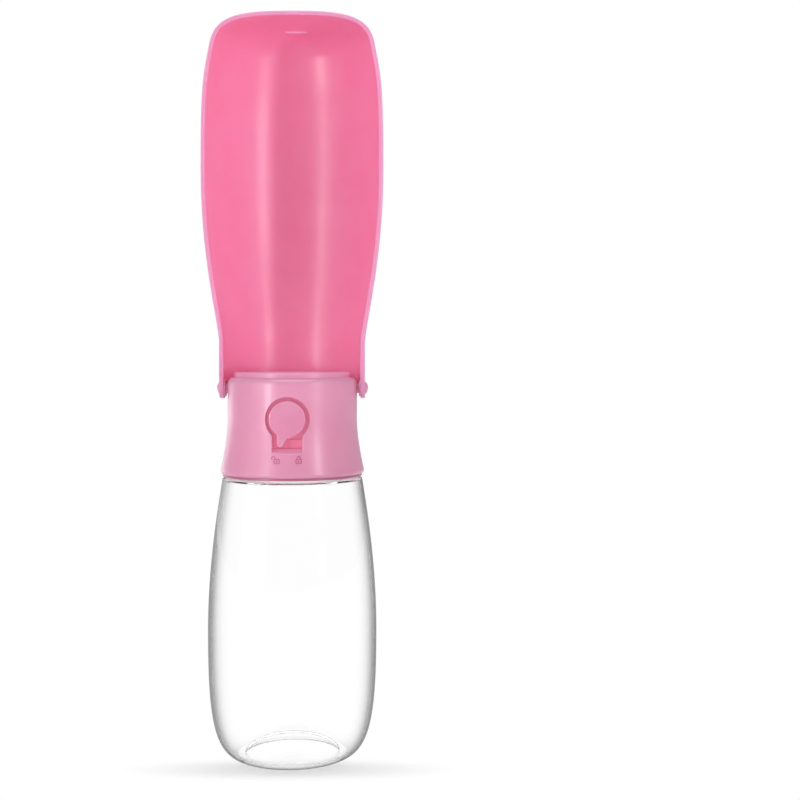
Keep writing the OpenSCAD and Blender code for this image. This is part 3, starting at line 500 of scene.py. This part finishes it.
# the bottle, turned from the same outline as its solid, with finer steps and rounded corners,
# lengths in mm: the pulls say how far its curves bulge
bottleLook = {"radius": 34.8, "height": 114.7, "belly": 52, "shoulder": 28.8, "foot": 21.5,
              "land": 2, "lift": 1.2, "punt": 6, "wall": 1.6, "neck": 21.5, "bore": 19.3,
              "neckTop": 124.4, "segments": 144, "seam": 1.0, "sharp": 50,
              "footPull": 0.83, "shoulderPull": 0.057, "puntPull": (0.5, 0.9, 0.8),
              "sideSteps": 40, "shoulderSteps": 30, "puntSteps": 24, "plate": 0.55,
              "corners": (0.5, 0.3, 0.35, 0.35, 0.5, 1.2),  # up the neck and down inside
              "innerFoot": 0.3, "innerTop": 1.5, "innerPunt": 0.4,
              "crown": 0.6, "lineFrom": 1, "lineTo": 0.3}


def bottleOutline(look):  # from the hollow base up the outside and down the inside
    foot, radius, belly = look["foot"], look["radius"], look["belly"]
    height, shoulder, wall = look["height"], look["shoulder"], look["wall"]
    side, puntRadius, punt = height - belly, foot - look["land"], look["punt"]
    outer = curve((foot, 0), (foot + look["footPull"] * (radius - foot), look["lift"]),
                  (radius, belly / 3), (radius, belly), look["sideSteps"])
    outer += curve((radius, belly), (radius, belly + side / 3),
                   (shoulder + look["shoulderPull"] * side, height - side / 3),
                   (shoulder, height), look["shoulderSteps"], 1)
    flat, wide, high = look["puntPull"]
    under = curve((0, punt), (flat * puntRadius, punt), (wide * puntRadius, high * punt),
                  (puntRadius, 0), look["puntSteps"])
    topIn = height - look["plate"] * wall  # the shoulder's plate is thinner than the side
    moved = inset(outer, wall)
    inner = [p for p in moved if wall + look["innerFoot"] < p[1] < topIn - look["innerTop"]]
    neck, bore, top = look["neck"], look["bore"], look["neckTop"]
    path = [outer[-2], (shoulder, height), (neck, height), (neck, top), (bore, top),
            (bore, topIn), (moved[-1][0], topIn), inner[-1]]
    line = under + outer[:-1]
    for i, corner in enumerate(look["corners"]):
        line += rounded(path[i + 1], path[i], path[i + 2], corner)
    line += inner[::-1]
    line += [(x, z + wall) for x, z in under[::-1] if x < inner[0][0] - look["innerPunt"]]
    return line


def makeBottle(look):
    line = bottleOutline(look)
    points = [(x * mm, 0, z * mm) for x, z in line]
    crown, low = look["height"] - look["crown"], look["foot"] + look["lineFrom"]
    top = max(range(len(line)), key=lambda i: line[i][0] * (line[i][1] > crown))
    # where the painted dark edges go: the outer skin; the painted arch goes on the punt's dome
    outside = [float(i <= top and x > low and z < look["height"] - look["lineTo"])
               for i, (x, z) in enumerate(line)]
    dome = [float(i <= look["puntSteps"]) for i in range(len(line))]
    thing = grown("clearBottle", lathe, points, chain(len(points)),
                  {"Segments": look["segments"], "Seam": look["seam"] * mm,
                   "Material": bottlePlastic},
                  {"outside": outside, "dome": dome})
    outward(thing, look["sharp"])
    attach(thing, "bottle")
    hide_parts("bottle")
    return thing


# the neck's thread, a ridge with a flat crest and a broader foot, in mm
threadLook = {"start": 117.3, "pitch": 3, "turns": 1.5, "radius": 21.5, "tip": 22.75,
              "foot": 1.15, "crest": 0.6, "bed": 0.3, "perTurn": 96, "runOut": 12, "sink": 0.9,
              "sharp": 40}


def makeThread(look):
    steps = round(look["perTurn"] * look["turns"])
    middle = (look["radius"] - look["bed"] + look["tip"]) / 2
    path = []
    for i in range(steps + 1):
        a = 2 * math.pi * look["turns"] * i / steps
        out = min(1, i / look["runOut"], (steps - i) / look["runOut"])
        r = middle - look["sink"] * (1 - out)  # its ends run out into the neck
        path.append((r * math.cos(a) * mm, r * math.sin(a) * mm,
                     (look["start"] + look["pitch"] * look["turns"] * i / steps) * mm))
    thing = grown("neckThread", ridge, path, chain(len(path)), {
        "Foot": look["foot"] * mm, "Crest": look["crest"] * mm,
        "Height": (look["tip"] - look["radius"] + look["bed"]) * mm, "Material": bottlePlastic})
    outward(thing, look["sharp"])
    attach(thing, "bottle")
    return thing


makeBottle(bottleLook)
makeThread(threadLook)
print("bottle made")


# moulded pieces keep their solid's shape and get the small edge rounding of a mould, in mm;
# with a rim only the front edge above it is rounded, and a flush seam at a height isn't
mouldings = {
    "trough": {"name": "foldingTrough", "body": "trough", "slot": "deep_pink_plastic",
               "finish": troughPlastic, "edge": 0.7, "steps": 4, "rim": 155},
    "head_housing": {"name": "headShell", "body": "head", "slot": "pink_plastic",
                     "finish": pinkPlastic, "edge": 0.25, "steps": 2, "flush": 154.6},
    "top_cover": {"name": "headCover", "body": "head", "slot": "pink_plastic",
                  "finish": pinkPlastic, "edge": 0.25, "steps": 2, "flush": 154.6},
    "neck_insert": {"name": "threadedInsert", "body": "head", "slot": "pink_plastic",
                    "finish": flangePlastic, "edge": 0.2, "steps": 2},
    "lock_guide": {"name": "buttonGuide", "body": "head", "slot": "deep_pink_plastic",
                   "finish": recessPlastic, "edge": 0.2, "steps": 2},
    "left_hinge_pin": {"name": "leftHingePin", "body": "head", "slot": "pink_plastic",
                       "finish": buttonPlastic, "edge": 0.3, "steps": 2},
    "right_hinge_pin": {"name": "rightHingePin", "body": "head", "slot": "pink_plastic",
                        "finish": buttonPlastic, "edge": 0.3, "steps": 2},
}
# lengths in mm, angles in degrees: what is merged, what counts as an edge, what stays sharp
edgeLook = {"merge": 0.002, "flat": 0.15, "near": 0.01, "crease": 38, "sharp": 34}


def weigh(shape, look):  # which edges are rounded
    mesh = bmesh.new()
    mesh.from_mesh(shape)
    layer = mesh.edges.layers.float.new("bevel_weight_edge")
    near, crease = edgeLook["near"] * mm, math.radians(edgeLook["crease"])
    front = min(v.co.y for v in mesh.verts) + near
    for edge in mesh.edges:
        if edge.is_manifold and edge.calc_face_angle(0) > crease:
            places = [v.co for v in edge.verts]
            if "rim" in look:  # only the front rim, above the hinge
                taken = all(p.y < front and p.z > look["rim"] * mm for p in places)
            else:  # all but the seam between head and cover
                taken = not all(abs(p.z - look.get("flush", 0) * mm) < near for p in places)
            edge[layer] = float(taken)
    mesh.to_mesh(shape)
    mesh.free()


def makeMoulding(node, look):
    merged = bmesh.new()
    merged.from_mesh(nodes[node].data)
    bmesh.ops.remove_doubles(merged, verts=merged.verts, dist=edgeLook["merge"] * mm)
    bmesh.ops.dissolve_limit(merged, angle_limit=math.radians(edgeLook["flat"]),
                             verts=merged.verts, edges=merged.edges)
    merged.verts.index_update()
    shape = bpy.data.meshes.new(look["name"])
    shape.from_pydata([v.co.copy() for v in merged.verts], [],
                      [[v.index for v in f.verts] for f in merged.faces])
    merged.free()
    shape.materials.append(look["finish"])
    thing = newObject(look["name"], shape)
    weigh(shape, look)
    bevel = thing.modifiers.new("edge", "BEVEL")
    bevel.width = look["edge"] * mm
    bevel.segments = look["steps"]
    bevel.limit_method = "WEIGHT"
    bevel.use_clamp_overlap = False
    bevel.miter_outer = "MITER_ARC"
    applied(thing)
    evened(thing, edgeLook["sharp"])
    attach(thing, look["body"])
    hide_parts(node)
    return thing


for node, look in mouldings.items():
    makeMoulding(node, look)
print("mouldings made:", len(mouldings))


# the button, in mm and degrees: a disc with a leaning tail, its corners filled by small curves
buttonLook = {"radius": 7.3, "reach": 11.4, "tip": 1.3, "taper": 16, "lean": 15.9, "fillet": 1.6,
              "height": 139.9, "front": -27.0, "back": -23.8, "edge": 0.55, "backEdge": 0.15,
              "hub": 4.0, "hubBack": -19.1, "bore": 2.06, "boreFront": -25.3,
              "stop": 0.9, "stopAt": 6.0, "stopRoot": 0.3, "cornerSteps": 12, "discSteps": 40,
              "edgeSteps": 6, "sides": 48, "stopSides": 24, "sharp": 50}


def buttonOutline(look):  # anticlockwise in x and z about the button's centre
    radius, tip, fillet = look["radius"], look["tip"], look["fillet"]
    t, reach = math.radians(look["taper"]), look["reach"] - look["tip"]
    normal, along = Vector((math.cos(t), -math.sin(t))), Vector((math.sin(t), math.cos(t)))
    start = Vector((0, -reach)) + (tip + fillet) * normal
    b, c = start.dot(along), start.dot(start) - (radius + fillet) ** 2
    centre = start + (-b - math.sqrt(b * b - c)) * along  # of the hollow corner
    touch = math.atan2(centre.y, centre.x)
    steps, top = look["cornerSteps"], math.pi / 2
    right = arc((0, -reach), tip, -top, -t, steps)  # the tail's tip, from its lowest point
    right += arc(centre, fillet, math.pi - t, math.pi + touch, steps)
    right += arc((0, 0), radius, touch, top, look["discSteps"], 1)  # the disc's right side
    whole = right + [(-x, z) for x, z in right[-2:0:-1]]
    a = math.radians(look["lean"])
    return [(x * math.cos(a) + z * math.sin(a), z * math.cos(a) - x * math.sin(a))
            for x, z in whole]


def makeButton(look):
    mesh = bmesh.new()
    line = buttonOutline(look)

    def loop(points, y):
        return [mesh.verts.new((x * mm, y * mm, (look["height"] + z) * mm)) for x, z in points]

    def skin(loops):
        for a, b in zip(loops, loops[1:]):
            for i in range(len(a)):
                j = (i + 1) % len(a)
                mesh.faces.new((a[i], a[j], b[j], b[i]))

    def circle(radius, x=0.0, z=0.0, sides=look["sides"]):
        return arc((x, z), radius, 0, 2 * math.pi, sides)[:-1]

    edge, front, back, bevel = look["edge"], look["front"], look["back"], look["backEdge"]
    cap = [loop(inset(line, bevel, True), back), loop(line, back - bevel)]
    for i in range(look["edgeSteps"] + 1):  # the rounded front edge
        a = math.radians(90 / look["edgeSteps"] * i)
        cap.append(loop(inset(line, edge * (1 - math.cos(a)), True),
                        front + edge * (1 - math.sin(a))))
    skin(cap)
    mesh.faces.new(cap[-1])
    hub, bore, end = circle(look["hub"]), circle(look["bore"]), look["hubBack"]
    stem = [loop(hub, back), loop(hub, end), loop(bore, end), loop(bore, look["boreFront"])]
    skin(stem)
    mesh.faces.new(stem[-1])
    around = [mesh.edges.get((r[i], r[(i + 1) % len(r)])) for r in (cap[0], stem[0])
              for i in range(len(r))]
    bmesh.ops.triangle_fill(mesh, edges=around, use_beauty=True)
    lean = math.radians(look["lean"])
    x, z = look["stopAt"] * math.sin(lean), look["stopAt"] * math.cos(lean)
    foot = circle(look["stop"], x, z, look["stopSides"])
    pin = [loop(foot, back - look["stopRoot"]), loop(foot, end)]
    skin(pin)
    for lid in pin:
        mesh.faces.new(lid)
    bmesh.ops.recalc_face_normals(mesh, faces=mesh.faces)
    shape = bpy.data.meshes.new("turningButton")
    mesh.to_mesh(shape)
    mesh.free()
    shape.materials.append(buttonPlastic)
    thing = evened(newObject("turningButton", shape), look["sharp"])
    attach(thing, "button")
    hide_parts("button_cap")
    return thing


makeButton(buttonLook)
print("button made")


# padlock outlines below the button, standing a hair out of the head's lip, in mm
padlockLook = {"height": 124.0, "drop": 0.55, "wide": 2.1, "tall": 1.7, "corner": 0.3,
               "shackle": 0.66, "rise": 0.5, "dip": 0.1, "hole": 0.17, "line": 0.17, "sides": 8,
               "cornerSteps": 4, "bowSteps": 10, "holeSteps": 8, "sharp": 40,
               "open": -4.0, "closed": 4.7}
# the head's side as radius and height: points of its lip, and of the slope above it
lipCurve = ((28.8, 116.6), (29.4, 116.6), (29.6, 117.35), (29.6, 118.1))
slopeCurve = ((29.6, 118.1), (27.802, 125.648), (26.7, 134.42), (26.7, 138.5))
headOutline = curve(*lipCurve, 8) + curve(*slopeCurve, 24, 1)


def headRadius(z):
    for (ra, za), (rb, zb) in zip(headOutline, headOutline[1:]):
        if za <= z <= zb and zb > za:
            return ra + (rb - ra) * (z - za) / (zb - za)
    return headOutline[-1][0]


def onHead(x, z):
    r = headRadius(z)
    return (x * mm, -math.sqrt(r * r - x * x) * mm, z * mm)


def makePadlock(name, centre, opened, look):
    w, h, s, corner = look["wide"] / 2, look["tall"] / 2, look["shackle"], look["corner"]
    low, rise = look["height"] - look["drop"], h + look["rise"]
    box = []
    for right, up, turn in ((1, -1, -90), (1, 1, 0), (-1, 1, 90), (-1, -1, 180)):
        box += arc((right * (w - corner), up * (h - corner)), corner,
                   math.radians(turn), math.radians(turn + 90), look["cornerSteps"])
    box.append(box[0])
    shift = -2 * s if opened else 0  # the open one's bow is swung out over the left corner
    foot = h - look["dip"] if opened else h
    bow = arc((shift, rise), s, 0, math.pi, look["bowSteps"])
    bow = [(shift + s, foot)] + bow + [(shift - s, foot)]
    hole = arc((0, 0), look["hole"], 0, 2 * math.pi, look["holeSteps"])
    points, edges = [], []
    for line in (box, bow, hole):
        start = len(points)
        points += [onHead(centre + x, low + z) for x, z in line]
        edges += chain(len(line), start)
    thing = grown(name, bead, points, edges, {
        "Radius": look["line"] * mm, "Sides": look["sides"], "Material": markPlastic})
    outward(thing, look["sharp"])
    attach(thing, "head")
    return thing


makePadlock("openPadlock", padlockLook["open"], True, padlockLook)
makePadlock("closedPadlock", padlockLook["closed"], False, padlockLook)
print("padlocks made")


# the return spring, as one smooth wire, in mm
springLook = {"radius": 3.3, "wire": 0.4, "turns": 5, "height": 139.9, "travel": 2.5,
              "perTurn": 48, "sides": 12, "sharp": 60}


def makeSpring(look):
    low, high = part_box("return_spring")
    steps, wire, radius = look["perTurn"] * look["turns"], look["wire"] * mm, look["radius"] * mm
    start, end = low.y + wire, high.y - wire
    path = []
    for i in range(steps + 1):
        a = 2 * math.pi * look["turns"] * i / steps
        path.append((radius * math.cos(a), start + (end - start) * i / steps,
                     look["height"] * mm - radius * math.sin(a)))
    thing = grown("returnSpring", bead, path, chain(len(path)), {
        "Radius": wire, "Sides": look["sides"], "Material": steel})
    outward(thing, look["sharp"])
    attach(thing, "head")
    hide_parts("return_spring")
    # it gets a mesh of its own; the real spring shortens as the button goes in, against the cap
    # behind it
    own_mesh(thing)
    return thing


makeSpring(springLook)
print("spring made")

# the solids that stay inside the head, and their finishes
keptSolids = {
    "neck_seal": whiteRubber, "valve_body": whitePlastic, "valve_seat_ring": whiteRubber,
    "valve_end_cap": whitePlastic, "end_cap_o_ring": whiteRubber, "inlet_seal": whiteRubber,
    "valve_screws": steel, "outlet_tube": whiteRubber, "outlet_seal": whiteRubber,
    "stem_gland": whitePlastic, "gland_o_ring": whiteRubber, "valve_stem": whitePlastic,
    "valve_plug": darkRubber, "plug_screw": steel,
}
for node, finish in keptSolids.items():
    for held in nodes[node].material_slots:
        held.material = finish
print("kept solids dressed:", len(keptSolids))


# floor and daylight, lengths in metres: all white but for a faint shadow at the bottle's foot
studio = {"size": 4.0, "sunk": 0.05 * mm, "floor": (0.9, 0.9, 0.9, 1), "white": (1, 1, 1, 1),
          "under": (0, 0.021, 0), "narrow": (0.22, 1, 1), "near": 0.004, "far": 0.016,
          "shade": 0.6, "ambient": 0.78, "gloss": 0.38}


def lookedAt(tree):  # by the camera, straight or through the clear bottle
    return tree.sum("MAXIMUM", tree.node("ShaderNodeLightPath", out="Is Camera Ray"),
                    tree.node("ShaderNodeLightPath", out="Is Transmission Ray"))


def makeFloor(look):
    made, tree = newMaterial("paleFloor")
    spot = tree.node("ShaderNodeMapping", None, {
        "Vector": tree.place(), "Location": look["under"], "Scale": look["narrow"]})
    spot = tree.node("ShaderNodeVectorMath", {"operation": "LENGTH"}, {0: spot}, out="Value")
    mirrored = tree.node("ShaderNodeLightPath", out="Is Glossy Ray")
    seen = tree.sum("MAXIMUM", lookedAt(tree), mirrored)
    away = seen * (1 - look["shade"] * (1 - tree.smooth(spot, look["near"], look["far"])))
    plain = tree.node("ShaderNodeBsdfDiffuse", None, {"Color": look["floor"]})
    white = tree.node("ShaderNodeEmission", None, {"Color": look["white"], "Strength": 1.0})
    close(tree, tree.node("ShaderNodeMixShader", None, {0: away, 1: plain, 2: white}))
    half = look["size"] / 2
    shape = bpy.data.meshes.new("floor")
    shape.from_pydata([(-half, -half, 0), (half, -half, 0), (half, half, 0), (-half, half, 0)],
                      [], [(0, 1, 2, 3)])
    shape.materials.append(made)
    floor = newObject("floor", shape)
    floor.location.z = -look["sunk"]


def makeWorld(look):
    world = bpy.data.worlds.new("softWhite")
    world.use_nodes = True
    world.node_tree.nodes.clear()
    bpy.context.scene.world = world
    tree = Tree(world.node_tree)
    dim, mirrored, white = (
        tree.node("ShaderNodeBackground", None, {"Color": look["white"], "Strength": strength})
        for strength in (look["ambient"], look["gloss"], 1.0))
    glossy = tree.node("ShaderNodeLightPath", out="Is Glossy Ray")
    mixed = tree.node("ShaderNodeMixShader", None, {0: glossy, 1: dim, 2: mirrored})
    mixed = tree.node("ShaderNodeMixShader", None, {0: lookedAt(tree), 1: mixed, 2: white})
    tree.node("ShaderNodeOutputWorld", None, {"Surface": mixed})


makeFloor(studio)
makeWorld(studio)
print("floor and daylight made")

# azimuth in degrees (0 in front, positive to the right), distance, height of the middle,
# width, height and power
softLamp = (-55, 1.0, 0.35, 0.7, 0.9, 1.9)
topPanel = (0, 0.15, 0.9, 0.6, 0.3, 2.4)
# place and target in mm, angle in degrees and power
spots = {"headSpot": ((30, -620, 150), (0, -27, 138), 11, 3.0),
         "troughSpot": ((560, -420, 150), (-18, 4, 245), 19, 5.2),
         "capSpot": ((-40, -620, 160), (0, 8, 300), 8, 2.2)}
# azimuth, width, lower and upper end and brightness of the panels that draw the highlights
strips = {"leftLow": (-38, 0.12, 0.00, 0.15, 28), "leftHigh": (-38, 0.12, 0.19, 0.45, 2.4),
          "leftPatch": (-38, 0.12, 0.45, 0.50, 36), "rightLow": (47, 0.12, 0.08, 0.15, 11),
          "rightHigh": (47, 0.12, 0.24, 0.50, 14), "leftRim": (-140, 0.5, 0.03, 0.16, 1.5)}
stripDistance, spotRadius = 0.9, 0.03  # metres


def makeLamp(name, azimuth, distance, height, wide, tall, power):
    lamp = bpy.data.lights.new(name, "AREA")
    lamp.shape = "RECTANGLE"
    lamp.size = wide
    lamp.size_y = tall
    lamp.energy = power
    thing = newObject(name, lamp)
    a = math.radians(azimuth)
    spot = Vector((distance * math.sin(a), -distance * math.cos(a), height))
    thing.location = spot
    thing.rotation_euler = (Vector((0, 0, height)) - spot).to_track_quat("-Z", "Y").to_euler()
    thing.visible_camera = False
    return thing


def makeSpot(name, place, target, angle, power):  # a soft cone of light that isn't mirrored
    lamp = bpy.data.lights.new(name, "SPOT")
    lamp.spot_size = math.radians(angle)
    lamp.spot_blend = 1.0
    lamp.shadow_soft_size = spotRadius
    lamp.energy = power
    thing = newObject(name, lamp)
    thing.location = Vector(place) * mm
    aim = (Vector(target) - Vector(place)).to_track_quat("-Z", "Y")
    thing.rotation_euler = aim.to_euler()
    thing.visible_glossy = False
    thing.visible_transmission = False


def onlyGloss(panel):  # it draws a highlight and lights nothing else
    panel.visible_diffuse = False
    panel.visible_transmission = False


makeLamp("softLamp", *softLamp)
for name, spot in spots.items():
    makeSpot(name, *spot)
for name, (azimuth, wide, low, high, brightness) in strips.items():
    power = brightness * math.pi * wide * (high - low)
    onlyGloss(makeLamp(name, azimuth, stripDistance, (low + high) / 2, wide, high - low, power))
above = makeLamp("topPanel", *topPanel)
above.rotation_euler = (0, 0, 0)  # it shines straight down
onlyGloss(above)
print("lamps made:", len(bpy.data.lights))

# the camera looks level, from a place in mm, with its picture shifted down a little
view = {"x": 44.6, "y": -540.0, "z": 164.2, "lens": 58.5, "sensor": 36, "shift": -0.0525,
        "clip": 0.01}
cameraData = bpy.data.cameras.new("camera")
cameraData.sensor_width = view["sensor"]
cameraData.lens = view["lens"]
cameraData.shift_y = view["shift"]
cameraData.clip_start = view["clip"]
camera = newObject("camera", cameraData)
camera.location = (view["x"] * mm, view["y"] * mm, view["z"] * mm)
camera.rotation_euler = (math.pi / 2, 0, 0)
bpy.context.scene.camera = camera
bpy.context.scene.view_settings.view_transform = "Standard"
print("camera placed")
